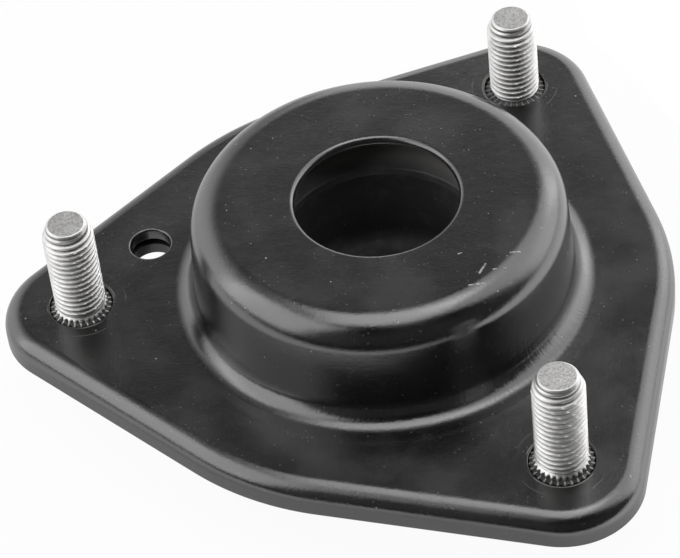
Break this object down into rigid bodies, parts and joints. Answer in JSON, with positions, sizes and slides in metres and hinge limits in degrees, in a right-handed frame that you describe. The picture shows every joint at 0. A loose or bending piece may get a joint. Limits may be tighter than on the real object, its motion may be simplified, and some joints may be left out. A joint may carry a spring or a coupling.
{
  "type": "strut mount",
  "caption": "Domed plate with a turned-down edge and press-in studs, over a rubber-bonded rod cup and a thrust ball bearing that lets the strut turn.",
  "frame": {"origin": "on the rod axis, in the plane of the plate's flat upper face, which lies against the car body", "axes": "+Z along the rod axis, the way the studs point; +X midway between the front and back studs, so the left stud is on -X"},
  "size_m": [0.1301, 0.1328, 0.0417],
  "materials": {
    "black_paint": "semi-gloss black dip paint, with dust and small scratches",
    "zinc": "bright zinc plate on rolled threads",
    "rubber": "moulded black rubber",
    "bearing_plastic": "moulded black plastic",
    "bearing_steel": "ground bearing steel",
    "cage_plastic": "natural moulded plastic",
    "seal_rubber": "moulded black rubber"
  },
  "bodies": {
    "mount": {"upper_plate": "black_paint", "lower_plate": "black_paint", "studs": "zinc", "rod_cup": "black_paint", "rubber_insulator": "rubber", "bearing_cap": "bearing_plastic", "upper_race": "bearing_steel"},
    "cage": {"ball_cage": "cage_plastic", "balls": "bearing_steel"},
    "turning_seat": {"turning_ring": "bearing_plastic", "lower_race": "bearing_steel", "outer_seal": "seal_rubber", "inner_seal": "seal_rubber"}
  },
  "joints": [
    {"name": "bearing_turn", "type": "hinge", "parent": "mount", "child": "turning_seat", "pos_m": [0, 0, -0.013], "axis": [0, 0, 1], "continuous": true},
    {"name": "cage_turn", "type": "hinge", "parent": "mount", "child": "cage", "pos_m": [0, 0, -0.013], "axis": [0, 0, 1], "continuous": true}
  ],
  "couplings": [
    {"joint": "cage_turn", "follows": "bearing_turn", "ratio": 0.5}
  ]
}
